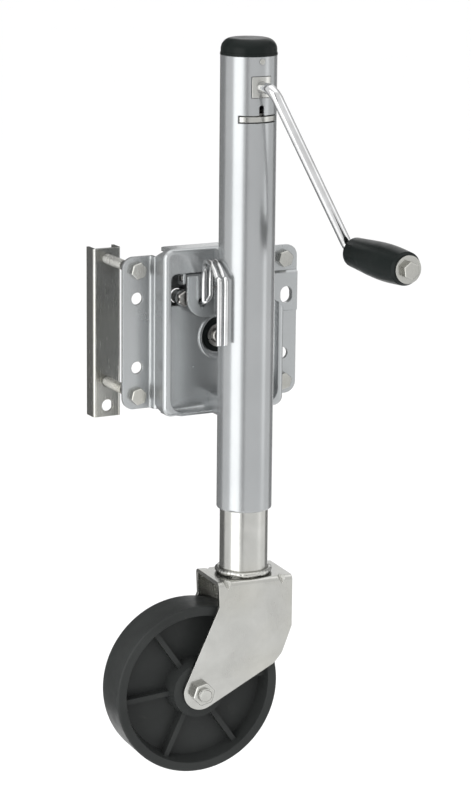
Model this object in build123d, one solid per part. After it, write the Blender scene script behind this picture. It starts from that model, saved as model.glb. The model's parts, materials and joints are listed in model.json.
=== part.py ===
"""Swivel tongue jack: clamp-on base, swivelling tube, crank-driven screw and caster wheel.

Frame (mm): the origin is the middle of the base bracket's mounting face, the plane Y = 0.
X runs along the trailer tongue, +Z is up, and the jack stands on the -Y side.
"""

import os
from math import atan, cos, degrees, pi, radians, sin

from build123d import *

# Trailer tongue that the clamp fits
TONGUE_W = 61.0

# Base bracket: a hat section with a flange on each side
SHEET = 3.0
FLANGE_X = 90.0
BEND_X = 62.0
BASE_Z = 71.0
BASE_Y = -12.0
BOLT_X = 75.6
BOLT_Z = 58.5
SPARE_Z = 32.2
BOLT_R = 4.76
BOLT_CLEAR_R = 5.2
SPARE_R = 5.75
KEEPER_T = 2.5
KEEPER_Z = (8.5, 47.0)
KEEPER_HOLE = (77.8, 24.0)

# Clamp bars behind the tongue
BAR_W = 28.0
BAR_DEEP = 16.0
BAR_T = 2.6
BAR_Z = (-92.0, 68.5)
BAR_SPARE_Z = -81.5

# Pivot between base and swivel pan
PIVOT_Z = -5.0
PIVOT_R = 6.35
PIVOT_BUSH_R = 9.95

# Swivel pan: pressed tray with its open side to the front
PAN_X = 62.0
PAN_Z = (-75.0, 80.5)
PAN_Y = (-32.5, -12.5)
PAN_FLOOR_Y = -22.5
PAN_T = 3.0
RIM_W = 6.5
FOOT_LIP = 3.5
WINDOW_TOP = 58.0
CUP_R = 23.0
CUP_BACK_Y = -12.4

# Spring lock: pin, lever plate and wire pull handle
LOCK_X = -40.0
LOCK_Z = 34.0
LOCK_R = 6.35
LOCK_NOSE_Y = -12.3
LOCK_FRONT_Y = -30.3
HINGE_Y = -28.5
HINGE_Z = 53.0
HINGE_R = 2.5
LEVER_X = (-40.3, -12.8)
LEVER_Y = (-35.5, -32.5)
LEVER_FOOT_Z = 16.8
WIRE_R = 2.3
WIRE_GAP = 3.25
SPRING_WIRE_R = 0.8
HOOK_X = -24.9
HOOK_Z = 31.3

# Jack tube
TUBE_Y = -72.8
TUBE_R = 25.4
TUBE_IN_R = 23.1
TUBE_Z = (-155.4, 258.9)
CAP_TOP = 273.5
SLIT_Z = (200.3, 207.2)
SLIT_HALF_ANGLE = 48.5

# Crank and gears; the axes of crank and screw cross at AXIS_Z
AXIS_Z = 232.3
CRANK_ANGLE = 27.1
CRANK_ARM = 164.0
CRANK_ROD_R = 5.0
CRANK_BEND_R = 10.0
CRANK_Y = (-119.0, -128.0)
SHAFT_R = 4.5
CLIP_R = 3.8
GEAR_TEETH = 24
PINION_TEETH = 12
MODULE = 1.5
FACE = 5.6

# Grip
GRIP_Y = (-228.0, -137.2)
GRIP_R = (13.5, 16.6, 15.0)
GRIP_SCREW_R = 3.0

# Screw and inner tube at the rest height
SCREW_R = 9.0
SCREW_FOOT = -85.0
INNER_R = 22.225
INNER_IN_R = 20.1
INNER_Z = (-216.2, 158.0)

# Caster, drawn about the tube axis and then turned
CASTER_ANGLE = -4.0
FORK_TOP = -217.5
FORK_T = 3.7
FORK_X = (-36.0, 37.5)
FORK_HALF_Y = 27.0
FORK_BEND_R = 4.5
GUSSET = 7.5
AXLE_X = -52.6
AXLE_Z = -319.5
AXLE_R = 6.35
BOSS_R = 16.8
WHEEL_R = 79.2
WHEEL_HALF = 20.0
HUB_HALF = 22.4
BUSH_HALF = 23.2
RIB_ANGLE = 5.0


def box(x, y, z):
    """Box from its (low, high) limits on each axis."""
    size = Box(x[1] - x[0], y[1] - y[0], z[1] - z[0])
    return Pos((x[0] + x[1]) / 2, (y[0] + y[1]) / 2, (z[0] + z[1]) / 2) * size


def rod_x(r, x, y, z):
    return Pos((x[0] + x[1]) / 2, y, z) * Rot(0, 90, 0) * Cylinder(r, x[1] - x[0])


def rod_y(r, y, x=0.0, z=0.0):
    return Pos(x, (y[0] + y[1]) / 2, z) * Rot(90, 0, 0) * Cylinder(r, y[1] - y[0])


def rod_z(r, z, x=0.0, y=TUBE_Y):
    return Pos(x, y, (z[0] + z[1]) / 2) * Cylinder(r, z[1] - z[0])


def plate_y(outline, y):
    """Plate from an outline in X and Z, between two Y values."""
    return Pos(0, y[1], 0) * extrude(Plane.XZ * outline, amount=y[1] - y[0])


def hex_y(flats, y, x, z, turn=0.0):
    outline = Pos(x, z) * Rot(0, 0, turn) * RegularPolygon(flats / 2, 6, major_radius=False)
    return plate_y(outline, y)


def upright_edges(shape, x, y):
    """Edges along Z that stand at (x, y)."""
    found = shape.edges().filter_by(Axis.Z)
    return [e for e in found if abs(e.center().X - x) < 0.05 and abs(e.center().Y - y) < 0.05]


def rim_edges(shape, y):
    """Edges that lie in the plane at Y = y."""
    return [e for e in shape.edges() if abs(e.bounding_box().min.Y - y) < 0.01
            and abs(e.bounding_box().max.Y - y) < 0.01]


def corners():
    return [(sx * BOLT_X, sz * BOLT_Z) for sx in (-1, 1) for sz in (-1, 1)]


# ---------------------------------------------------------------- base

def base_bracket():
    inner = BEND_X - SHEET
    half = [(FLANGE_X, 0), (inner, 0), (inner, BASE_Y + SHEET)]
    front = [(BEND_X, BASE_Y), (BEND_X, -SHEET), (FLANGE_X, -SHEET)]
    left_back = [(-x, y) for x, y in reversed(half)]
    left_front = [(-x, y) for x, y in reversed(front)]
    section = Polygon(*half, *left_back, *left_front, *front, align=None)
    bracket = Pos(0, 0, -BASE_Z) * extrude(section, 2 * BASE_Z)
    for side in (-1, 1):
        bracket = fillet(upright_edges(bracket, side * BEND_X, BASE_Y), 4.0)
        bracket = fillet(upright_edges(bracket, side * BEND_X, -SHEET), 2.0)
    bracket &= plate_y(RectangleRounded(2 * FLANGE_X, 2 * BASE_Z, 11), (BASE_Y, 0))
    for x, z in corners():
        bracket -= rod_y(BOLT_CLEAR_R, (-SHEET, 0), x, z)
    for x, z in ((-BOLT_X, SPARE_Z), (-BOLT_X, -SPARE_Z), (BOLT_X, -SPARE_Z)):
        bracket -= rod_y(SPARE_R, (-SHEET, 0), x, z)
    bracket -= keeper_hole()
    bracket -= rod_y(PIVOT_R, (BASE_Y, 0), 0, PIVOT_Z)
    for x, z in ((LOCK_X, LOCK_Z), (LOCK_Z - PIVOT_Z, PIVOT_Z - LOCK_X)):
        bracket -= rod_y(LOCK_R + 0.4, (BASE_Y, 0), x, z)
    return bracket


def keeper_hole():
    outline = Pos(*KEEPER_HOLE) * SlotOverall(15.8, 12.3, rotation=90)
    return plate_y(outline, (-SHEET - KEEPER_T, 0))


def keeper_plate():
    """Pad welded on the right flange, with the same long hole through both."""
    front = -SHEET - KEEPER_T
    height = KEEPER_Z[1] - KEEPER_Z[0]
    plate = plate_y(Pos(BOLT_X + 1.3, sum(KEEPER_Z) / 2) * Rectangle(25.4, height), (front, -SHEET))
    top = [e for e in rim_edges(plate, front) if e.center().Z > KEEPER_Z[1] - 0.1]
    plate = chamfer(top, 2.2)
    low = [e for e in rim_edges(plate, front) if e.center().Z < KEEPER_Z[0] + 0.1]
    return chamfer(low, 0.8) - keeper_hole()


def clamp_bolts():
    bolts = []
    for x, z in corners():
        head = hex_y(14.3, (-SHEET - 6, -SHEET), x, z, 15)
        head &= rod_y(8.0, (-SHEET - 6, -SHEET), x, z)
        head = chamfer(rim_edges(head, -SHEET - 6), 0.6)
        bolts.append(head + rod_y(BOLT_R, (-SHEET, 74.5), x, z))
    return Compound(children=bolts)


def clamp_washers():
    seat = TONGUE_W + BAR_T
    rings = [rod_y(9.0, (seat, seat + 2.2), x, z) - rod_y(BOLT_R, (seat, seat + 2.2), x, z)
             for x, z in corners()]
    return Compound(children=rings)


def clamp_nuts():
    seat = TONGUE_W + BAR_T + 2.2
    nuts = [hex_y(14.3, (seat, seat + 8.2), x, z, 15) - rod_y(BOLT_R, (seat, seat + 8.2), x, z)
            for x, z in corners()]
    return Compound(children=nuts)


def clamp_bar(side):
    x = side * BOLT_X
    y0 = TONGUE_W
    whole = box((x - BAR_W / 2, x + BAR_W / 2), (y0, y0 + BAR_DEEP), BAR_Z)
    inner_x = BAR_W / 2 - BAR_T
    bar = whole - box((x - inner_x, x + inner_x), (y0 + BAR_T, y0 + BAR_DEEP), BAR_Z)
    for edge_x in (x - BAR_W / 2, x + BAR_W / 2):
        bar = fillet(upright_edges(bar, edge_x, y0), 3.0)
    for z in (BOLT_Z, -BOLT_Z):
        bar -= rod_y(BOLT_CLEAR_R, (y0, y0 + BAR_T), x, z)
    return bar - rod_y(SPARE_R, (y0, y0 + BAR_T), x, BAR_SPARE_Z)


def pivot_rivet():
    head = rod_y(7.5, (-23.0, -19.2), 0, PIVOT_Z)
    head = fillet(rim_edges(head, -23.0), 3.0)
    foot = rod_y(10.0, (-9.0, -5.0), 0, PIVOT_Z)
    foot = chamfer(rim_edges(foot, -5.0), 1.5)
    return head + foot + rod_y(PIVOT_R, (-19.2, -9.0), 0, PIVOT_Z)


def pivot_washer():
    ring = rod_y(11.0, (-19.2, -17.7), 0, PIVOT_Z)
    return ring - rod_y(PIVOT_R, (-19.2, -17.7), 0, PIVOT_Z)


def pivot_bushing():
    flange = rod_y(16.0, (-17.7, -15.7), 0, PIVOT_Z)
    sleeve = rod_y(PIVOT_BUSH_R, (-15.7, BASE_Y), 0, PIVOT_Z)
    return flange + sleeve - rod_y(PIVOT_R, (-17.7, BASE_Y), 0, PIVOT_Z)


# ---------------------------------------------------------------- swivel pan

def window_outline(grow):
    """Outline of the pan's recess, grown outwards by grow."""
    low = PAN_Z[0] + FOOT_LIP - grow
    high = WINDOW_TOP + grow
    outline = Pos(0, (low + high) / 2) * Rectangle(2 * (PAN_X - RIM_W + grow), high - low)
    outline = fillet([v for v in outline.vertices() if v.Y > 0], 6 + grow)
    return fillet([v for v in outline.vertices() if v.Y < low + 0.1], 13 + grow)


def recess():
    """Space inside the pan's recess; its floor runs up in a wide radius at the foot."""
    front = PAN_Y[0] - 1
    half_x = PAN_X - RIM_W
    foot_z = PAN_Z[0] + FOOT_LIP
    across = Pos(0, (front + PAN_FLOOR_Y) / 2) * Rectangle(2 * half_x, PAN_FLOOR_Y - front)
    across = fillet([v for v in across.vertices() if v.Y > PAN_FLOOR_Y - 0.1], 5.5)
    down = Pos((front + PAN_FLOOR_Y) / 2, (foot_z + WINDOW_TOP) / 2)
    down *= Rectangle(PAN_FLOOR_Y - front, WINDOW_TOP - foot_z)
    floor = [v for v in down.vertices() if v.X > PAN_FLOOR_Y - 0.1]
    down = fillet([v for v in floor if v.Y < 0], 9.9)
    down = fillet([v for v in down.vertices() if v.X > PAN_FLOOR_Y - 0.1 and v.Y > 50], 5.5)
    space = plate_y(window_outline(0), (front, PAN_FLOOR_Y))
    space &= Pos(0, 0, -100) * extrude(across, 200)
    return space & Pos(-100, 0, 0) * extrude(Plane.YZ * down, 200)


def swivel_pan():
    mid_z = (PAN_Z[0] + PAN_Z[1]) / 2
    height = PAN_Z[1] - PAN_Z[0]
    outer = Pos(0, mid_z) * RectangleRounded(2 * PAN_X, height, 9)
    inner = Pos(0, mid_z) * RectangleRounded(2 * (PAN_X - PAN_T), height - 2 * PAN_T, 6)
    shell = plate_y(outer, PAN_Y)
    shell = fillet(rim_edges(shell, PAN_Y[0]), 4.5)
    shell -= plate_y(inner, (PAN_Y[0] + PAN_T, PAN_Y[1]))
    pocket = plate_y(window_outline(3.5), (PAN_Y[0] + 1, PAN_FLOOR_Y + PAN_T))
    pan = shell + pocket - recess()
    cup_wall = rod_y(CUP_R, (PAN_FLOOR_Y - 1.6, CUP_BACK_Y), 0, PIVOT_Z)
    cup_wall = fillet(rim_edges(cup_wall, PAN_FLOOR_Y - 1.6), 1.3)
    pan += cup_wall
    pan -= rod_y(CUP_R - PAN_T, (-60, CUP_BACK_Y - PAN_T), 0, PIVOT_Z)
    pan -= rod_y(PIVOT_BUSH_R + 0.05, (-60, 0), 0, PIVOT_Z)
    opening = Pos(-42.3, 42.0) * RectangleRounded(25.4, 31.0, 4)
    pan -= plate_y(opening, (PAN_FLOOR_Y - 1, 0))
    cut_away = Polygon((50, 95), (50, 30), (66, 12), (80, 12), (80, 95), align=None)
    pan -= plate_y(cut_away, (-60, 0))
    for z, way in ((PAN_Z[1], 1), (PAN_Z[0], -1)):
        corner = Polygon((-12, z - 9.3 * way), (-28.2, z), (-28.2, z + way), (-12, z + way), align=None)
        for x in (-PAN_X, PAN_X):
            pan -= Pos(x, 0, 0) * extrude(Plane.YZ * corner, 6, both=True)
    return pan


def saddle(z):
    """Channel between the pan's front face and the tube."""
    front = PAN_Y[0]
    channel = box((-12, 12), (-52, PAN_FLOOR_Y), z) - box((-9, 9), (-52, front - PAN_T), z)
    channel &= box((-20, 20), (-60, front), z) + recess()
    return channel - rod_z(TUBE_R, z)


def hinge_ears():
    ears = []
    for x in ((-43.6, -41.1), (-12.0, -9.5)):
        ear = box(x, (-33.0, PAN_FLOOR_Y), (47.0, WINDOW_TOP))
        foot = [e for e in ear.edges().filter_by(Axis.X) if e.center().Z < 48]
        ear = fillet([e for e in foot if e.center().Y < -30], 4.0)
        ears.append((ear & recess()) - rod_x(HINGE_R, x, HINGE_Y, HINGE_Z))
    return Compound(children=ears)


def lever_hinge_pin():
    return rod_x(HINGE_R, (-44.6, -3.0), HINGE_Y, HINGE_Z)


def lock_guide():
    """Sleeve that carries the lock pin, on a plate welded to the pan."""
    sleeve = rod_y(7.4, (-25.5, -19.5), LOCK_X, LOCK_Z)
    arm = box((LOCK_X, -18), (-25.5, PAN_FLOOR_Y), (26, 42))
    return sleeve + arm - rod_y(LOCK_R + 0.05, (-26, -19), LOCK_X, LOCK_Z)


# ---------------------------------------------------------------- spring lock

def lock_lever():
    outline = Pos(sum(LEVER_X) / 2, (LEVER_FOOT_Z + 55.5) / 2)
    outline *= Rectangle(LEVER_X[1] - LEVER_X[0], 55.5 - LEVER_FOOT_Z)
    low = [v for v in outline.vertices() if v.Y < 20]
    outline = fillet([v for v in low if v.X < -20], 18)
    right = [v for v in outline.vertices() if v.Y < 20 and v.X > -13]
    plate = plate_y(fillet(right, 4), LEVER_Y)
    knuckle = rod_x(4.5, LEVER_X, HINGE_Y, HINGE_Z)
    neck = box(LEVER_X, (LEVER_Y[0], HINGE_Y), (HINGE_Z - 1.5, HINGE_Z + 2.5))
    fin = box((-33.0, -30.4), (LEVER_Y[1], -26.2), (26.0, 41.0))
    lever = plate + knuckle + neck + fin
    lever -= rod_x(HINGE_R + 0.05, LEVER_X, HINGE_Y, HINGE_Z)
    slot = box((-33.5, -30), (HINGE_Y - 2.6, HINGE_Y + 2.6), (29.5, 38.5))
    hole = rod_y(4.8, (-36, -32), HOOK_X, HOOK_Z)
    return lever - slot - hole


def cane_arc(shift, back, front, arc_z):
    """Top of one wire strand, from the pan's side over to the tube's side, in short runs."""
    reach = (back[1] - front[1]) / 2
    points = []
    for k in range(7):
        turn = radians(30 * k)
        x = front[0] + (back[0] - front[0]) * ((1 + cos(turn)) / 2) ** 2.7
        points.append((x + shift, back[1] - reach * (1 - cos(turn)), arc_z + reach * sin(turn)))
    curve = Spline(*points, tangents=((0, 0, 1), (0, 0, -1)))
    return [curve.trim(k / 10, (k + 1) / 10) for k in range(10)]


def pull_handle():
    """Bent wire: hooked into the lever, two strands over its top and down beside the tube."""
    back, front = (-23.1, -40.5), (-31.9, -88.0)
    foot_z, arc_z = 1.5, 49.3
    near_x, far_x = back[0] + WIRE_GAP, back[0] - WIRE_GAP
    corner = (HOOK_X, back[1], HOOK_Z)
    hook_end = (HOOK_X, -31.3, HOOK_Z)
    hook = FilletPolyline(hook_end, corner, (near_x, back[1], 37.5), (near_x, back[1], arc_z), radius=3.5)
    stub = Line((far_x, back[1], HOOK_Z + 1.5), (far_x, back[1], arc_z))
    starts = [(hook.edges(), hook_end, (0, -1, 0)), ([stub], stub @ 0, (0, 0, 1))]
    strands = []
    for (first, origin, way), shift in zip(starts, (WIRE_GAP, -WIRE_GAP)):
        x = front[0] + shift
        leg = Line((x, front[1], arc_z), (x, front[1], foot_z))
        path = Wire([*first, *cane_arc(shift, back, front, arc_z), leg])
        strands.append(sweep(Plane(origin=origin, z_dir=way) * Circle(WIRE_R), path=path))
    return strands[0] + strands[1]


def lever_spring():
    """Torsion spring on the hinge pin: one leg on the pan's floor, one on the lever's face."""
    coil_r = 3.8
    spring = rod_between((-8.5, HINGE_Y + coil_r, HINGE_Z), (-8.5, PAN_FLOOR_Y - 0.85, 41))
    for turn in range(4):
        ring = Torus(coil_r, SPRING_WIRE_R)
        spring += Pos(-8.5 + 1.5 * turn, HINGE_Y, HINGE_Z) * Rot(0, 90, 0) * ring
    elbow = (-4.0, LEVER_Y[0] - SPRING_WIRE_R, 44)
    spring += rod_between((-4.0, HINGE_Y - coil_r, HINGE_Z), elbow)
    spring += Pos(*elbow) * Sphere(SPRING_WIRE_R)
    return spring + rod_between(elbow, (-16.0, elbow[1], elbow[2]))


def rod_between(start, end):
    """Spring wire from one point to another."""
    line = Line(start, end)
    return sweep(Plane(origin=start, z_dir=line % 0) * Circle(SPRING_WIRE_R), path=line)


def lock_pin():
    shank = rod_y(LOCK_R, (-26.5, LOCK_NOSE_Y), LOCK_X, LOCK_Z)
    shank = chamfer(rim_edges(shank, LOCK_NOSE_Y), 1.0)
    head = hex_y(2 * LOCK_R, (LOCK_FRONT_Y, -26.5), LOCK_X, LOCK_Z, 30)
    head = chamfer(rim_edges(head, LOCK_FRONT_Y), 0.9)
    return shank + head - rod_x(2.0, (-50, -30), HINGE_Y, LOCK_Z)


def lock_cross_pin():
    return rod_x(2.0, (-46.2, -29.6), HINGE_Y, LOCK_Z)


# ---------------------------------------------------------------- tube

def outer_tube():
    tube = rod_z(TUBE_R, TUBE_Z)
    tube = fillet([e for e in tube.edges() if e.center().Z < TUBE_Z[0] + 0.1], 1.8)
    tube -= rod_z(INNER_R + 0.06, TUBE_Z)
    tube -= rod_z(TUBE_IN_R, (TUBE_Z[0] + 8, TUBE_Z[1]))
    front = (-110, TUBE_Y)
    tube -= box((-9.5, 9.5), front, (AXIS_Z - 9.5, AXIS_Z + 9.5))
    tube -= box((-2.5, 2.5), front, (SLIT_Z[1], 213.9)) + rod_y(2.5, front, 0, 213.9)
    tube -= front_sector(TUBE_R + 5, SLIT_HALF_ANGLE, SLIT_Z)
    tube -= rod_y(1.6, (-100, -90), 0, 254.6)
    return tube - rod_y(8.0, (-60, -40), 0, AXIS_Z)


def front_sector(r, half_angle, z):
    """Wedge of a disc round the tube axis that faces the front."""
    far = 3 * r
    spread = far * sin(radians(half_angle))
    depth = far * cos(radians(half_angle))
    wedge = Polygon((0, 0), (-spread, -depth), (0, -far), (spread, -depth), align=None)
    return Pos(0, TUBE_Y, z[0]) * extrude(wedge & Circle(r), z[1] - z[0])


def tube_cap():
    cap = rod_z(TUBE_R - 0.3, (TUBE_Z[1], CAP_TOP))
    top = [e for e in cap.edges() if e.center().Z > CAP_TOP - 0.1]
    cap = fillet(top, 10.0) + rod_z(TUBE_R + 0.2, (TUBE_Z[1], TUBE_Z[1] + 1.8))
    cap += rod_z(TUBE_IN_R, (246.5, TUBE_Z[1]))
    cap -= rod_z(20.6, (246.5, CAP_TOP - 5.5))
    return cap - rod_y(1.6, (-100, -90), 0, 254.6)


def cap_rivet():
    head = rod_y(2.6, (-99.0, -98.2), 0, 254.6)
    return head + rod_y(1.6, (-98.2, -92.0), 0, 254.6)


def front_bushing():
    face = box((-9.1, 9.1), (-99.6, -95.2), (AXIS_Z - 9.1, AXIS_Z + 9.1))
    shank = box((-9.5, 9.5), (-95.2, -92.4), (AXIS_Z - 9.5, AXIS_Z + 9.5))
    block = (face & rod_z(TUBE_R + 0.6, (AXIS_Z - 10, AXIS_Z + 10))) + shank
    return block - rod_y(CRANK_ROD_R + 0.05, (-100, -92), 0, AXIS_Z)


def rear_bushing():
    bush = rod_y(8.0, (-53.0, -46.6), 0, AXIS_Z)
    return bush - rod_y(SHAFT_R + 0.05, (-54, -46), 0, AXIS_Z)


def retainer_plate():
    """Thrust plate pushed in through the slit; it carries the screw."""
    plate = rod_z(TUBE_IN_R - 0.1, (201.4, 206.1))
    plate += front_sector(TUBE_R - 0.2, SLIT_HALF_ANGLE - 3, (201.4, 206.1))
    return plate - rod_z(7.3, (200, 207))


def thrust_bearing():
    """Two washers with a ring of balls between them."""
    washers = [rod_z(15.0, z) - rod_z(7.3, z) for z in ((206.1, 207.6), (210.4, 211.9))]
    balls = [Pos(0, TUBE_Y, 209) * Rot(0, 0, 30 * k) * Pos(11, 0, 0) * Sphere(1.4) for k in range(12)]
    return Compound(children=washers + balls)


# ---------------------------------------------------------------- crank and gears

def bevel_gear(teeth, mate, bore, backing):
    """Straight bevel gear about Z, its cone's apex at the origin, its body below."""
    slope = atan(teeth / mate)
    radius = MODULE * teeth / 2
    distance = radius / sin(slope)
    inner = (distance - FACE) / distance
    tip, root = 1.1, 1.75
    along = (sin(slope), -cos(slope))
    outward = (cos(slope), sin(slope))

    def at(scale, height):
        r, z = (scale * (distance * a + height * o) for a, o in zip(along, outward))
        return (r, z)

    root_far = at(1, -root)
    root_near = at(inner, -root)
    back = root_far[1] - backing
    outline = [(bore, back), (root_far[0], back), root_far, root_near, (bore, root_near[1])]
    gear = revolve(Plane.XZ * Polygon(*outline, align=None), Axis.Z)
    half = 0.2 * pi * MODULE
    widths = [(half + n * -0.364, n) for n in (-root - 0.6, tip)]
    for k in range(teeth):
        ends = []
        for scale in (1.0, inner):
            r, z = at(scale, 0)
            quad = [(-w * scale, n * scale) for w, n in widths]
            quad += [(w * scale, n * scale) for w, n in reversed(widths)]
            place = Plane(origin=(r, 0, z), x_dir=(0, 1, 0), z_dir=(along[0], 0, along[1]))
            if place.y_dir.Z < 0:
                place = Plane(origin=(r, 0, z), x_dir=(0, -1, 0), z_dir=(along[0], 0, along[1]))
            ends.append(place * Polygon(*quad, align=None))
        gear += Rot(0, 0, k * 360 / teeth) * loft(ends, ruled=True)
    return gear


def bevel_wheel():
    """Large gear on the screw; a gap faces the front, where the pinion is."""
    gear = bevel_gear(GEAR_TEETH, PINION_TEETH, 7.0, 3.5)
    hub = Pos(0, 0, -16.9) * Cylinder(12.0, 7.0) - Pos(0, 0, -16.9) * Cylinder(7.0, 7.0)
    turned = Rot(0, 0, 180 / GEAR_TEETH) * (gear + hub)
    placed = Pos(0, TUBE_Y, AXIS_Z) * turned
    return placed - rod_x(1.5, (-12, 12), TUBE_Y, 216.2)


def drive_pinion():
    """Small gear on the crank; one tooth points straight down."""
    pinion = bevel_gear(PINION_TEETH, GEAR_TEETH, SHAFT_R, 0.6)
    return Pos(0, TUBE_Y, AXIS_Z) * Rot(-90, 0, 0) * pinion


def turned_crank(shape):
    """Turn a piece drawn with the crank hanging straight down into its rest place."""
    return Pos(0, 0, AXIS_Z) * Rot(0, -CRANK_ANGLE, 0) * shape


def crank_bar():
    path = FilletPolyline(
        (0, -92.2, 0),
        (0, CRANK_Y[0], 0),
        (0, CRANK_Y[1], -CRANK_ARM),
        (0, GRIP_Y[0] - 0.3, -CRANK_ARM),
        radius=CRANK_BEND_R,
    )
    bar = sweep(Plane(origin=path @ 0, z_dir=path % 0) * Circle(CRANK_ROD_R), path=path)
    bar += rod_y(SHAFT_R, (-92.2, -45.2))
    bar -= rod_y(6, (-46.4, -45.9)) - rod_y(CLIP_R, (-46.4, -45.9))
    return turned_crank(bar - rod_y(GRIP_SCREW_R, (-250, -205), 0, -CRANK_ARM))


def shaft_clip():
    ring = rod_y(7.5, (-46.4, -45.9)) - rod_y(CLIP_R, (-46.4, -45.9))
    return turned_crank(ring - box((-1.5, 1.5), (-47, -45), (0, 10)))


def grip_screw():
    seat = GRIP_Y[0] - 2.3
    head = hex_y(14.0, (seat - 6, seat), 0, -CRANK_ARM, 10)
    head = chamfer(rim_edges(head, seat - 6), 0.6)
    return turned_crank(head + rod_y(GRIP_SCREW_R, (seat, -205), 0, -CRANK_ARM))


def grip_washer():
    faces = (GRIP_Y[0] - 2.3, GRIP_Y[0] - 0.3)
    ring = rod_y(12.5, faces, 0, -CRANK_ARM) - rod_y(GRIP_SCREW_R, faces, 0, -CRANK_ARM)
    return turned_crank(ring)


def grip():
    bore = CRANK_ROD_R + 0.05
    start, bulge, end = GRIP_R
    y0, y1 = GRIP_Y[1], GRIP_Y[0]
    waist = y0 + 0.62 * (y1 - y0)
    edge = Spline((start, y0 - 2), (bulge, waist), (end, y1 + 3), tangents=((0.06, -1), (-0.08, -1)))
    outline = edge + Polyline((end, y1 + 3), (end - 2, y1), (bore, y1), (bore, y0))
    outline += Polyline((bore, y0), (start - 2, y0), (start, y0 - 2))
    body = revolve(make_face(outline), Axis.Y)
    return turned_crank(Pos(0, 0, -CRANK_ARM) * body)


# ---------------------------------------------------------------- screw and inner tube

def lead_screw():
    screw = rod_z(SCREW_R, (SCREW_FOOT, 201.2))
    screw = chamfer([e for e in screw.edges() if e.center().Z < SCREW_FOOT + 0.1], 1.5)
    screw += rod_z(7.0, (201.2, 221.0))
    return screw - rod_x(1.5, (-12, 12), TUBE_Y, 216.2)


def gear_pin():
    return rod_x(1.5, (-11.6, 11.6), TUBE_Y, 216.2)


def inner_tube():
    return rod_z(INNER_R, INNER_Z) - rod_z(INNER_IN_R, INNER_Z)


def lead_nut():
    top = INNER_Z[1]
    nut = rod_z(INNER_IN_R, (top - 22, top)) + rod_z(TUBE_IN_R - 0.05, (top, top + 4))
    return nut - rod_z(SCREW_R + 0.05, (top - 22, top + 4))


def king_pin():
    foot = INNER_Z[0]
    plug = rod_z(INNER_IN_R, (foot, foot + 10))
    shank = rod_z(8.0, (FORK_TOP - FORK_T - 0.2, foot))
    head = rod_z(13.0, (FORK_TOP - FORK_T - 5.2, FORK_TOP - FORK_T - 0.2))
    low = [e for e in head.edges() if e.center().Z < FORK_TOP - FORK_T - 5]
    return plug + shank + fillet(low, 2.5)


def king_washer():
    faces = (FORK_TOP + 0.2, INNER_Z[0])
    return rod_z(22.0, faces) - rod_z(8.0, faces)


# ---------------------------------------------------------------- caster

def place_caster(shape):
    return Pos(0, TUBE_Y, 0) * Rot(0, 0, CASTER_ANGLE) * shape


def leg_outline():
    """Side plate: straight sides at the top, drawn out to the axle's boss."""
    left = [(FORK_X[0], FORK_TOP), (-35.0, -241.0), (-67.9, -312.5), (-44.8, -334.4)]
    right = [(20.0, -300.5), (28.0, -291.0), (FORK_X[1], -266.0), (FORK_X[1], FORK_TOP)]
    outline = Polygon(*left, *right, align=None) + Pos(AXLE_X, AXLE_Z) * Circle(BOSS_R)
    soft = [v for v in outline.vertices() if v.X > 15 and v.Y < -280]
    return fillet(soft, 8)


def gusset_notch(x, side):
    """Three-cornered dimple pressed into the bend between the top and one side plate."""
    edge = side * FORK_HALF_Y
    corner = Polygon((edge, FORK_TOP), (edge - side * GUSSET, FORK_TOP), (edge, FORK_TOP - GUSSET),
                     align=None)
    across = Plane(origin=(x, edge, FORK_TOP), x_dir=(1, 0, 0), z_dir=(0, side, -1))
    vee = across * Polygon((-5, 0), (5, 0), (0, side * GUSSET * 0.707), align=None)
    return Pos(x, 0, 0) * extrude(Plane.YZ * corner, 6, both=True) & extrude(vee, 9, both=True)


def caster_fork():
    sides = (-FORK_HALF_Y, FORK_HALF_Y)
    inside = FORK_HALF_Y - FORK_T
    under = FORK_TOP - FORK_T
    fork = plate_y(leg_outline(), sides) - box((-90, 60), (-inside, inside), (-360, under))
    top = [e for e in fork.edges().filter_by(Axis.X) if e.center().Z > FORK_TOP - 0.1]
    fork = fillet(top, FORK_BEND_R)
    for x in (-27.0, 27.0):
        for side in (-1, 1):
            rib = Polygon((side * inside, under), (side * (inside - 5), under),
                          (side * inside, under - 5), align=None)
            fork += Pos(x, 0, 0) * extrude(Plane.YZ * rib, 4, both=True)
            fork -= gusset_notch(x, side)
    fork -= rod_z(8.05, (under, FORK_TOP), 0, 0)
    return place_caster(fork - rod_y(AXLE_R, (-30, 30), AXLE_X, AXLE_Z))


def axle_bolt():
    head = hex_y(19.0, (FORK_HALF_Y, FORK_HALF_Y + 7.9), AXLE_X, AXLE_Z)
    bolt = head + rod_y(AXLE_R, (-FORK_HALF_Y - 12.0, FORK_HALF_Y), AXLE_X, AXLE_Z)
    return place_caster(chamfer(rim_edges(bolt, -FORK_HALF_Y - 12.0), 1.2))


def axle_nut():
    faces = (-FORK_HALF_Y - 8.0, -FORK_HALF_Y)
    nut = hex_y(19.0, faces, AXLE_X, AXLE_Z, 12)
    nut &= rod_y(10.6, faces, AXLE_X, AXLE_Z)
    nut = chamfer(rim_edges(nut, faces[0]), 0.7)
    return place_caster(nut - rod_y(AXLE_R, faces, AXLE_X, AXLE_Z))


def axle_point(shape):
    return place_caster(Pos(AXLE_X, 0, AXLE_Z) * shape)


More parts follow.
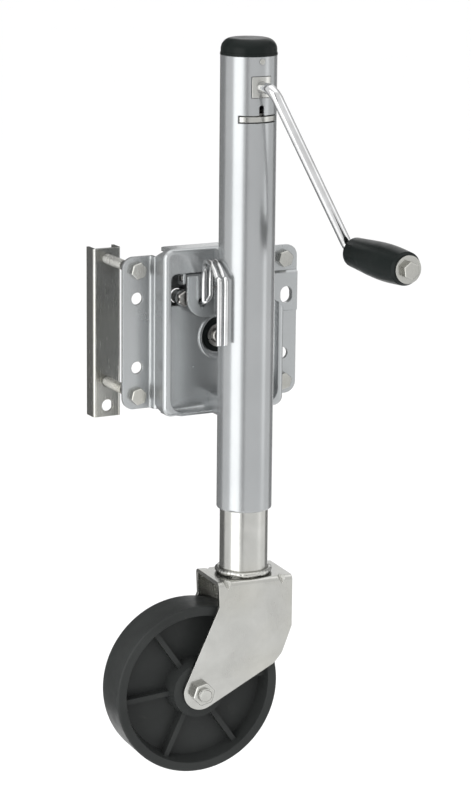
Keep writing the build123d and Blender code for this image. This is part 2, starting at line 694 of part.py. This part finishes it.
def wheel():
    w, web = WHEEL_HALF, 4.0
    hub = [(9.5, HUB_HALF), (25.0, HUB_HALF), (27.5, web)]
    front = hub + [(67.0, web), (70.4, w), (WHEEL_R, w)]
    back = [(r, -y) for r, y in reversed(front)]
    body = revolve(Polygon(*front, *back, align=None), Axis.Y)
    circles = body.edges().filter_by(GeomType.CIRCLE)
    body = fillet([e for e in circles if abs(e.radius - WHEEL_R) < 0.01], 2.5)
    body = fillet([e for e in body.edges().filter_by(GeomType.CIRCLE) if abs(e.radius - 70.4) < 0.01], 1.2)
    for k in range(6):
        rib = box((24.5, 69.4), (-13.5, 13.5), (-2.3, 2.3))
        body += Rot(0, -RIB_ANGLE - 60 * k, 0) * rib
    return axle_point(body)


def wheel_bushing():
    sleeve = rod_y(9.5, (-BUSH_HALF, BUSH_HALF)) - rod_y(AXLE_R + 0.05, (-BUSH_HALF, BUSH_HALF))
    return axle_point(sleeve)


NODES = {
    "base_bracket": base_bracket,
    "keeper_plate": keeper_plate,
    "clamp_bolts": clamp_bolts,
    "clamp_washers": clamp_washers,
    "clamp_nuts": clamp_nuts,
    "clamp_bar_left": lambda: clamp_bar(-1),
    "clamp_bar_right": lambda: clamp_bar(1),
    "pivot_rivet": pivot_rivet,
    "pivot_washer": pivot_washer,
    "pivot_bushing": pivot_bushing,
    "swivel_pan": swivel_pan,
    "saddle_upper": lambda: saddle((58.0, 79.0)),
    "saddle_lower": lambda: saddle((-75.0, -57.0)),
    "hinge_ears": hinge_ears,
    "lever_hinge_pin": lever_hinge_pin,
    "lever_spring": lever_spring,
    "lock_guide": lock_guide,
    "lock_lever": lock_lever,
    "pull_handle": pull_handle,
    "lock_pin": lock_pin,
    "lock_cross_pin": lock_cross_pin,
    "outer_tube": outer_tube,
    "tube_cap": tube_cap,
    "cap_rivet": cap_rivet,
    "front_bushing": front_bushing,
    "rear_bushing": rear_bushing,
    "retainer_plate": retainer_plate,
    "thrust_bearing": thrust_bearing,
    "crank_bar": crank_bar,
    "drive_pinion": drive_pinion,
    "shaft_clip": shaft_clip,
    "grip_screw": grip_screw,
    "grip_washer": grip_washer,
    "grip": grip,
    "lead_screw": lead_screw,
    "bevel_wheel": bevel_wheel,
    "gear_pin": gear_pin,
    "inner_tube": inner_tube,
    "lead_nut": lead_nut,
    "king_pin": king_pin,
    "king_washer": king_washer,
    "caster_fork": caster_fork,
    "axle_bolt": axle_bolt,
    "axle_nut": axle_nut,
    "wheel": wheel,
    "wheel_bushing": wheel_bushing,
}

os.makedirs("parts", exist_ok=True)
for name, make in NODES.items():
    export_step(make(), f"parts/{name}.step")
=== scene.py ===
"""Looks, weld beads, floor, light and camera for the swivel tongue jack.

Metres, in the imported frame: +Z up, -Y towards the crank, the tongue beam behind the bracket.
"""

import json
from math import cos, pi, radians, sin

import bmesh
import bpy
from mathutils import Matrix, Vector


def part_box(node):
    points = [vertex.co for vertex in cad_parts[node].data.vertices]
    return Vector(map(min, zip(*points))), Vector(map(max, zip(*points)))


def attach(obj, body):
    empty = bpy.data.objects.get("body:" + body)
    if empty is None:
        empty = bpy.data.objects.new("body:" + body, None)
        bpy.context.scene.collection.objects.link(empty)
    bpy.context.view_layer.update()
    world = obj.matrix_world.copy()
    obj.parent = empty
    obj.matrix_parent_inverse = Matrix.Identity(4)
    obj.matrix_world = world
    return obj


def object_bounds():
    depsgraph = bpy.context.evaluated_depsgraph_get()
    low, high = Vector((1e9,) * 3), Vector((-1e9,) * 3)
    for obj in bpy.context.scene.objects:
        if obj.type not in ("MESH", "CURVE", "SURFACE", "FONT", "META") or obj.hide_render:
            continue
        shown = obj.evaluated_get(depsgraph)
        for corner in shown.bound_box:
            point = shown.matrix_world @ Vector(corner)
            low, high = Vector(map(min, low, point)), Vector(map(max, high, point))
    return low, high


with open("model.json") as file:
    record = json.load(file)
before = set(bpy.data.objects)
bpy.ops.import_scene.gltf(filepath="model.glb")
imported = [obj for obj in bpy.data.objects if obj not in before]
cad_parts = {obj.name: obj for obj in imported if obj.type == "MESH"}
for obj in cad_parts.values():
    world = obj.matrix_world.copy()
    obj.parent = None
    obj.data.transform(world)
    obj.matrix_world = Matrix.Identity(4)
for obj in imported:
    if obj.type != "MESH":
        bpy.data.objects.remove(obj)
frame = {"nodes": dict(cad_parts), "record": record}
CAD_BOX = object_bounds()
NODES = frame["nodes"]

# Camera, as an orbit round a target: degrees, metres, and the lens in millimetres
CAM_AZIMUTH = -27.668
CAM_ELEVATION = 13.331
CAM_ROLL = 0.5816
CAM_DISTANCE = 2.5962
CAM_TARGET = (0.01496, -0.0254, -0.06691)
CAM_LENS = 126.0

# Threads drawn on the bolts
THREAD_PITCH = 0.0016
THREAD_DEPTH = 0.0004
THREAD_RUN_OUT = 0.0004
CLAMP_THREAD_START = 0.024   # the clamp bolts' shank is smooth in front of this

# Weld beads
BEAD_SIDES = 10
FOOT_BEAD_R = 0.0026
FOOT_BEAD_STEPS = 160
FOOT_BEAD_OFFSET = 0.0015    # out from the inner tube's wall
FOOT_BEAD_LIFT = 0.0021      # above the fork's top
FOOT_BEAD_SWAY = 0.0003
SADDLE_BEAD_R = 0.0017
SADDLE_BEAD_STEPS = 26
SADDLE_BEAD_OFFSET = 0.0006  # out from the saddle's side
SADDLE_BEAD_END = 0.001      # short of the saddle's ends

# Floor: clear of the caster when the jack is wound right out
LIFT_TRAVEL = 0.2138
FLOOR_GAP = 0.012
FLOOR_SIZE = 40.0
FLOOR_TONE = 0.955

# What lights and flags are aimed at
LIGHT_TARGET = (0, -0.05, -0.05)
FLAG_TARGET = (0, -0.07, -0.05)
WORLD_STRENGTH = 1.06


# ---------------------------------------------------------------- shader nodes

def shade(tone, factor):
    """The colour times factor, no channel over 1."""
    return tuple(min(1.0, factor * c) for c in tone)


class Shader:
    """A principled material with short calls for its nodes."""

    def __init__(self, name):
        self.material = bpy.data.materials.new(name)
        self.material.use_nodes = True
        self.tree = self.material.node_tree
        self.bsdf = self.tree.nodes["Principled BSDF"]
        self.place = self.node("ShaderNodeTexCoord").outputs["Object"]

    def node(self, kind):
        return self.tree.nodes.new(kind)

    def link(self, source, target):
        self.tree.links.new(source, target)

    def set(self, **values):
        for name, value in values.items():
            self.bsdf.inputs[name.replace("_", " ")].default_value = value

    def feed(self, name, source):
        self.link(source, self.bsdf.inputs[name])

    def stretched(self, scale):
        """Object coordinates, scaled along each axis."""
        node = self.node("ShaderNodeMapping")
        node.inputs["Scale"].default_value = scale
        self.link(self.place, node.inputs["Vector"])
        return node.outputs["Vector"]

    def noise(self, scale, detail=3.0, rough=0.55, at=None, distortion=0.0):
        """Noise about 0.5; at is a vector socket, or None for object coordinates."""
        node = self.node("ShaderNodeTexNoise")
        node.inputs["Scale"].default_value = scale
        node.inputs["Detail"].default_value = detail
        node.inputs["Roughness"].default_value = rough
        node.inputs["Distortion"].default_value = distortion
        self.link(at or self.place, node.inputs["Vector"])
        return node.outputs["Fac"]

    def cells(self, scale):
        node = self.node("ShaderNodeTexVoronoi")
        node.inputs["Scale"].default_value = scale
        self.link(self.place, node.inputs["Vector"])
        return node.outputs["Distance"]

    def remap(self, source, low, high, to_low=0.0, to_high=1.0):
        """Clamped linear map of low..high to to_low..to_high."""
        node = self.node("ShaderNodeMapRange")
        node.inputs["From Min"].default_value = low
        node.inputs["From Max"].default_value = high
        node.inputs["To Min"].default_value = to_low
        node.inputs["To Max"].default_value = to_high
        self.link(source, node.inputs["Value"])
        return node.outputs["Result"]

    def maths(self, kind, a, b=0.0):
        """a and b are numbers or sockets."""
        node = self.node("ShaderNodeMath")
        node.operation = kind
        for socket, value in zip(node.inputs, (a, b)):
            if isinstance(value, (int, float)):
                socket.default_value = value
            else:
                self.link(value, socket)
        return node.outputs["Value"]

    def mix(self, factor, a, b):
        """Colour from a to b by factor; a and b are colours or sockets."""
        node = self.node("ShaderNodeMix")
        node.data_type = "RGBA"
        self.link(factor, node.inputs["Factor"])
        for name, value in (("A", a), ("B", b)):
            socket = [s for s in node.inputs if s.name == name and s.type == "RGBA"][0]
            if isinstance(value, tuple):
                socket.default_value = (*value, 1.0)
            else:
                self.link(value, socket)
        return [s for s in node.outputs if s.type == "RGBA"][0]

    def soft_edges(self, radius):
        """Normal that rounds the sharp edges a little, as paint and plate do."""
        node = self.node("ShaderNodeBevel")
        node.samples = 4
        node.inputs["Radius"].default_value = radius
        return node.outputs["Normal"]

    def bump(self, height, strength, distance, after=None):
        """Normal bent by height, on top of the normal given as after."""
        node = self.node("ShaderNodeBump")
        node.inputs["Strength"].default_value = strength
        node.inputs["Distance"].default_value = distance
        self.link(height, node.inputs["Height"])
        if after is not None:
            self.link(after, node.inputs["Normal"])
        return node.outputs["Normal"]


# ---------------------------------------------------------------- materials

def silver_paint(name, light, dark, rough, peel):
    """Silver satin paint: flake, orange peel of that strength, soft stains, rubbed places."""
    s = Shader(name)
    cloud = s.remap(s.noise(9.0, 4.0), 0.3, 0.7)
    streak = s.noise(1.0, 3.0, at=s.stretched((90, 90, 12)))
    flake = s.remap(s.cells(2600.0), 0.0, 0.75)
    tone = s.mix(cloud, dark, light)
    tone = s.mix(s.remap(flake, 0.0, 1.0, 0.0, 0.16), tone, shade(light, 1.5))
    rub = s.remap(s.noise(38.0, 6.0, 0.7), 0.62, 0.80, 0.0, 0.14)
    tone = s.mix(rub, tone, shade(dark, 0.72))
    s.feed("Base Color", tone)
    spread = s.remap(streak, 0.3, 0.7, rough - 0.012, rough + 0.015)
    s.feed("Roughness", s.maths("ADD", spread, s.maths("MULTIPLY", rub, 0.35)))
    normal = s.bump(s.noise(420.0, 2.0), peel, 0.0004, s.soft_edges(0.0011))
    s.feed("Normal", s.bump(flake, 0.05, 0.00005, normal))
    s.set(Metallic=0.74, Coat_Weight=0.3, Coat_Roughness=0.08, Coat_IOR=1.4)
    return s.material


def zinc_plate(name, light, dark, rough, thread=None):
    """Bright zinc plate: crystal mottling, faint warm bloom, drawing lines.

    thread is (start, way): rolled threads along Y on the +Y (1) or -Y (-1) side of start.
    """
    s = Shader(name)
    patch = s.remap(s.noise(26.0, 5.0, 0.62, distortion=0.6), 0.32, 0.68)
    grain = s.remap(s.cells(150.0), 0.0, 0.8)
    tone = s.mix(patch, dark, light)
    tone = s.mix(s.remap(grain, 0.0, 1.0, 0.0, 0.22), tone, shade(light, 0.8))
    bloom = s.remap(s.noise(7.0, 3.0), 0.5, 0.75, 0.0, 0.45)
    tone = s.mix(bloom, tone, (light[0], 0.96 * light[1], 0.84 * light[2]))
    s.feed("Base Color", tone)
    fine = s.remap(s.noise(1.0, 4.0, at=s.stretched((900, 900, 60))), 0.3, 0.7, -0.05, 0.05)
    base = s.remap(patch, 0.0, 1.0, rough + 0.09, rough)
    s.feed("Roughness", s.maths("ADD", base, fine))
    normal = s.bump(s.noise(70.0, 3.0), 0.05, 0.0006, s.soft_edges(0.0009))
    if thread:
        along = s.node("ShaderNodeSeparateXYZ")
        s.link(s.place, along.inputs["Vector"])
        y = along.outputs["Y"]
        ridges = s.maths("SINE", s.maths("MULTIPLY", y, 2 * pi / THREAD_PITCH))
        start, way = thread
        if way > 0:
            mask = s.remap(y, start, start + THREAD_RUN_OUT, 0.0, 1.0)
        else:
            mask = s.remap(y, start - THREAD_RUN_OUT, start, 1.0, 0.0)
        normal = s.bump(s.maths("MULTIPLY", ridges, mask), 0.9, THREAD_DEPTH, normal)
    s.feed("Normal", s.bump(s.noise(900.0, 3.0), 0.03, 0.0002, normal))
    s.set(Metallic=1.0)
    return s.material


def bright_plate(name):
    """Nickel plate on bent rod: nearly a mirror, with drawing marks and dull spots."""
    s = Shader(name)
    tone = s.mix(s.remap(s.noise(60.0, 4.0), 0.35, 0.7), (0.64, 0.645, 0.65), (0.52, 0.52, 0.52))
    s.feed("Base Color", tone)
    spots = s.remap(s.noise(240.0, 5.0, 0.7), 0.6, 0.8, 0.0, 0.20)
    base = s.remap(s.noise(35.0, 2.0), 0.3, 0.7, 0.09, 0.17)
    s.feed("Roughness", s.maths("ADD", base, spots))
    s.feed("Normal", s.bump(s.noise(320.0, 3.0), 0.08, 0.0003))
    s.set(Metallic=1.0)
    return s.material


def plain_steel(name, light, dark, rough):
    """Oiled steel with dark tarnish in patches."""
    s = Shader(name)
    patch = s.remap(s.noise(90.0, 5.0, 0.65), 0.35, 0.65)
    s.feed("Base Color", s.mix(patch, dark, light))
    s.feed("Roughness", s.remap(s.noise(300.0, 4.0), 0.3, 0.7, rough - 0.06, rough + 0.1))
    s.feed("Normal", s.bump(s.noise(700.0, 3.0), 0.12, 0.0003))
    s.set(Metallic=1.0)
    return s.material


def moulded_plastic(name, tone, dust, rough, grain, gloss):
    """Moulded plastic: fine grain of that strength, slow waviness, rub marks and dust."""
    s = Shader(name)
    wave = s.noise(22.0, 3.0)
    scuff = s.remap(s.noise(55.0, 7.0, 0.72, distortion=0.4), 0.58, 0.82, 0.0, 0.5)
    colour = s.mix(s.remap(wave, 0.3, 0.7), tone, shade(tone, 1.35))
    s.feed("Base Color", s.mix(scuff, colour, dust))
    base = s.remap(s.noise(120.0, 3.0), 0.3, 0.7, rough - 0.05, rough + 0.06)
    s.feed("Roughness", s.maths("ADD", base, s.maths("MULTIPLY", scuff, 0.4)))
    normal = s.bump(wave, 0.12, 0.002)
    s.feed("Normal", s.bump(s.noise(1500.0, 2.0), grain, 0.0002, normal))
    s.set(Specular_IOR_Level=gloss, IOR=1.22)
    return s.material


def bronze(name):
    """Sintered bronze, darker in patches."""
    s = Shader(name)
    patch = s.remap(s.noise(80.0, 5.0, 0.6), 0.35, 0.65)
    s.feed("Base Color", s.mix(patch, (0.42, 0.28, 0.14), (0.62, 0.45, 0.25)))
    s.feed("Roughness", s.remap(s.noise(260.0, 3.0), 0.3, 0.7, 0.28, 0.42))
    s.feed("Normal", s.bump(s.noise(600.0, 3.0), 0.1, 0.0003))
    s.set(Metallic=1.0)
    return s.material


# Metal: light tone, dark tone, roughness, and for paint its peel.
# Plastic: tone, dust, roughness, grain, gloss.
ZINC = ((0.50, 0.50, 0.48), (0.42, 0.42, 0.40), 0.17)
FASTENER_ZINC = ((0.50, 0.50, 0.475), (0.36, 0.36, 0.34), 0.20)
TUBE_PAINT = ((0.355, 0.365, 0.37), (0.30, 0.31, 0.315), 0.235, 0.04)
BRACKET_PAINT = ((0.385, 0.40, 0.405), (0.335, 0.345, 0.35), 0.26, 0.05)
STEEL = ((0.42, 0.42, 0.40), (0.22, 0.21, 0.20), 0.30)
BLACK_PLASTIC = ((0.006, 0.008, 0.0075), (0.022, 0.025, 0.023), 0.32, 0.2, 0.4)
WHEEL_PLASTIC = ((0.021, 0.0225, 0.022), (0.050, 0.050, 0.046), 0.36, 0.18, 0.5)
BUSH_PLASTIC = ((0.58, 0.56, 0.51), (0.40, 0.38, 0.34), 0.45, 0.2, 0.5)

SLOT_MATERIALS = {
    "tube_paint": silver_paint("tube_paint", *TUBE_PAINT),
    "bracket_paint": silver_paint("bracket_paint", *BRACKET_PAINT),
    "zinc": zinc_plate("zinc", *ZINC),
    "fastener_zinc": zinc_plate("fastener_zinc", *FASTENER_ZINC),
    "steel": plain_steel("steel", *STEEL),
    "chrome": bright_plate("chrome"),
    "bronze": bronze("bronze"),
    "black_plastic": moulded_plastic("black_plastic", *BLACK_PLASTIC),
    "wheel_plastic": moulded_plastic("wheel_plastic", *WHEEL_PLASTIC),
    "bush_plastic": moulded_plastic("bush_plastic", *BUSH_PLASTIC),
}

# Bolts with threads in view: behind the clamp bolts' smooth shank, and past the axle nut
CLAMP_THREAD = (CLAMP_THREAD_START, 1)
AXLE_THREAD = (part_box("axle_nut")[0].y, -1)
NODE_MATERIALS = {
    "clamp_bolts": zinc_plate("clamp_bolt_zinc", *FASTENER_ZINC, thread=CLAMP_THREAD),
    "axle_bolt": zinc_plate("axle_bolt_zinc", *FASTENER_ZINC, thread=AXLE_THREAD),
}

for part in frame["record"]["subparts"]:
    node = NODES[part["node"]]
    node.data.materials.clear()
    look = NODE_MATERIALS.get(part["node"], SLOT_MATERIALS[part["material_slot"]])
    node.data.materials.append(look)


# ---------------------------------------------------------------- weld beads

def weld_bead(name, path, closed, radius, body, slot):
    """Rippled bead along a path of points, riding on body; an open one tapers to its ends."""
    verts, faces = [], []
    count = len(path)
    for i, point in enumerate(path):
        before = path[(i - 1) % count] if closed or i else path[0]
        after = path[(i + 1) % count] if closed or i < count - 1 else path[-1]
        way = (after - before).normalized()
        helper = Vector((0.31, 0.22, 0.93)) if abs(way.z) < 0.9 else Vector((1, 0, 0))
        across = way.cross(helper).normalized()
        other = way.cross(across)
        # three waves of unlike length, so the ripples don't repeat
        wave = abs(sin(i * 0.83)) * 0.16 + 0.10 * sin(i * 0.29 + 1.0) + 0.05 * sin(i * 2.1)
        grown = radius * (0.84 + wave)
        if not closed:
            grown *= min(1.0, 0.25 + 0.3 * min(i, count - 1 - i))
        for k in range(BEAD_SIDES):
            turn = 2 * pi * k / BEAD_SIDES
            verts.append(point + grown * (cos(turn) * across + sin(turn) * other))
    steps = count if closed else count - 1
    for i in range(steps):
        a, b = i * BEAD_SIDES, ((i + 1) % count) * BEAD_SIDES
        for k in range(BEAD_SIDES):
            j = (k + 1) % BEAD_SIDES
            faces.append((a + k, a + j, b + j, b + k))
    if not closed:
        faces.append(tuple(range(BEAD_SIDES))[::-1])
        faces.append(tuple(range((count - 1) * BEAD_SIDES, count * BEAD_SIDES)))
    mesh = bpy.data.meshes.new(name)
    mesh.from_pydata([tuple(v) for v in verts], [], faces)
    work = bmesh.new()
    work.from_mesh(mesh)
    bmesh.ops.recalc_face_normals(work, faces=work.faces)
    work.to_mesh(mesh)
    work.free()
    for face in mesh.polygons:
        face.use_smooth = True
    bead = bpy.data.objects.new(name, mesh)
    bpy.context.scene.collection.objects.link(bead)
    mesh.materials.append(SLOT_MATERIALS[slot])
    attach(bead, body)


def foot_bead():
    """Round the inner tube where it stands on the fork."""
    low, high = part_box("inner_tube")
    centre = (low + high) / 2
    ring_r = (high.x - low.x) / 2 + FOOT_BEAD_OFFSET
    ring = []
    for k in range(FOOT_BEAD_STEPS):
        turn = 2 * pi * k / FOOT_BEAD_STEPS
        lift = FOOT_BEAD_LIFT + FOOT_BEAD_SWAY * sin(7 * turn)
        x = centre.x + ring_r * cos(turn)
        y = centre.y + ring_r * sin(turn)
        ring.append(Vector((x, y, low.z + lift)))
    weld_bead("foot_bead", ring, True, FOOT_BEAD_R, "lift", "zinc")


def saddle_beads():
    """Both sides of each saddle, where it meets the outer tube."""
    tube_low, tube_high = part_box("outer_tube")
    axis_y = (tube_low.y + tube_high.y) / 2
    tube_r = (tube_high.x - tube_low.x) / 2
    for name in ("saddle_upper", "saddle_lower"):
        low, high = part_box(name)
        sides = (("left", low.x - SADDLE_BEAD_OFFSET), ("right", high.x + SADDLE_BEAD_OFFSET))
        foot = low.z + SADDLE_BEAD_END
        step = (high.z - low.z - 2 * SADDLE_BEAD_END) / (SADDLE_BEAD_STEPS - 1)
        for side, x in sides:
            y = axis_y + (tube_r ** 2 - x ** 2) ** 0.5
            line = [Vector((x, y, foot + k * step)) for k in range(SADDLE_BEAD_STEPS)]
            bead = f"{name}_bead_{side}"
            weld_bead(bead, line, False, SADDLE_BEAD_R, "swivel", "tube_paint")


foot_bead()
saddle_beads()


# ---------------------------------------------------------------- floor, light and camera

def direction(azimuth, elevation):
    """Unit vector; degrees; azimuth 0 is on the -Y side, positive towards +X."""
    a, e = radians(azimuth), radians(elevation)
    return Vector((sin(a) * cos(e), -cos(a) * cos(e), sin(e)))


def sheet(name, corners, look):
    """Flat studio sheet with four corners; not part of the object."""
    mesh = bpy.data.meshes.new(name)
    mesh.from_pydata(corners, [], [(0, 1, 2, 3)])
    mesh.materials.append(look)
    shown = bpy.data.objects.new(name, mesh)
    bpy.context.scene.collection.objects.link(shown)
    return shown


def floor(z):
    h = FLOOR_SIZE / 2
    tone = (FLOOR_TONE,) * 3
    s = Shader("floor")
    s.feed("Base Color", s.mix(s.noise(3.0), tone, shade(tone, 0.98)))
    s.set(Roughness=0.7)
    sheet("floor", [(-h, -h, z), (h, -h, z), (h, h, z), (-h, h, z)], s.material)


def softbox(name, azimuth, elevation, distance, size, power):
    """Rectangular light round the object; size is (width, height)."""
    way = direction(azimuth, elevation)
    data = bpy.data.lights.new(name, "AREA")
    data.shape = "RECTANGLE"
    data.size, data.size_y = size
    data.energy = power
    lamp = bpy.data.objects.new(name, data)
    lamp.location = Vector(LIGHT_TARGET) + way * distance
    lamp.rotation_mode = "QUATERNION"
    lamp.rotation_quaternion = (-way).to_track_quat("-Z", "Y")
    bpy.context.scene.collection.objects.link(lamp)


def flag(name, azimuth, distance, size, grey):
    """Dark studio flag that only reflections see; placed like a softbox."""
    way = direction(azimuth, 0.0)
    turn = way.to_track_quat("-Z", "Y").to_matrix()
    centre = Vector(FLAG_TARGET) + way * distance
    w, h = size[0] / 2, size[1] / 2
    corners = [centre + turn @ Vector((x, y, 0)) for x, y in ((-w, -h), (w, -h), (w, h), (-w, h))]
    tone = (grey,) * 3
    s = Shader(name)
    s.feed("Base Color", s.mix(s.noise(2.0), tone, shade(tone, 0.8)))
    s.set(Roughness=0.9, Specular_IOR_Level=0.1)
    shown = sheet(name, corners, s.material)
    shown.visible_camera = False
    shown.visible_diffuse = False
    shown.visible_shadow = False


floor(CAD_BOX[0].z - LIFT_TRAVEL - FLOOR_GAP)

# name, azimuth, elevation, distance, (width, height), watts
softbox("key", -67.0, 4.0, 0.98, (0.74, 1.5), 7.4)
softbox("fill", 52.0, 10.0, 1.8, (0.5, 1.8), 2.5)
softbox("top", 10.0, 82.0, 2.2, (2.4, 2.4), 14.0)

# name, azimuth, distance, (width, height), grey
flag("flag_left", -166.0, 0.60, (0.86, 2.0), 0.16)
flag("flag_right", 112.0, 0.9, (0.55, 2.0), 0.25)
flag("flag_front", -33.0, 1.6, (0.24, 2.4), 0.06)

world = bpy.data.worlds.new("studio")
world.use_nodes = True
backdrop = world.node_tree.nodes["Background"]
backdrop.inputs["Color"].default_value = (1.0, 1.0, 1.0, 1.0)
backdrop.inputs["Strength"].default_value = WORLD_STRENGTH
bpy.context.scene.world = world
bpy.context.scene.view_settings.view_transform = "Standard"


def camera():
    """Camera on its orbit, with the roll about the line of sight."""
    back = direction(CAM_AZIMUTH, CAM_ELEVATION)
    a, r = radians(CAM_AZIMUTH), radians(CAM_ROLL)
    right = Vector((cos(a), sin(a), 0))
    up = back.cross(right)
    side = cos(r) * right + sin(r) * up
    top = -sin(r) * right + cos(r) * up
    data = bpy.data.cameras.new("camera")
    data.lens = CAM_LENS
    data.clip_end = 100
    shown = bpy.data.objects.new("camera", data)
    turn = Matrix((side, top, back)).transposed().to_4x4()
    shown.matrix_world = Matrix.Translation(Vector(CAM_TARGET) + back * CAM_DISTANCE) @ turn
    bpy.context.scene.collection.objects.link(shown)
    bpy.context.scene.camera = shown


camera()
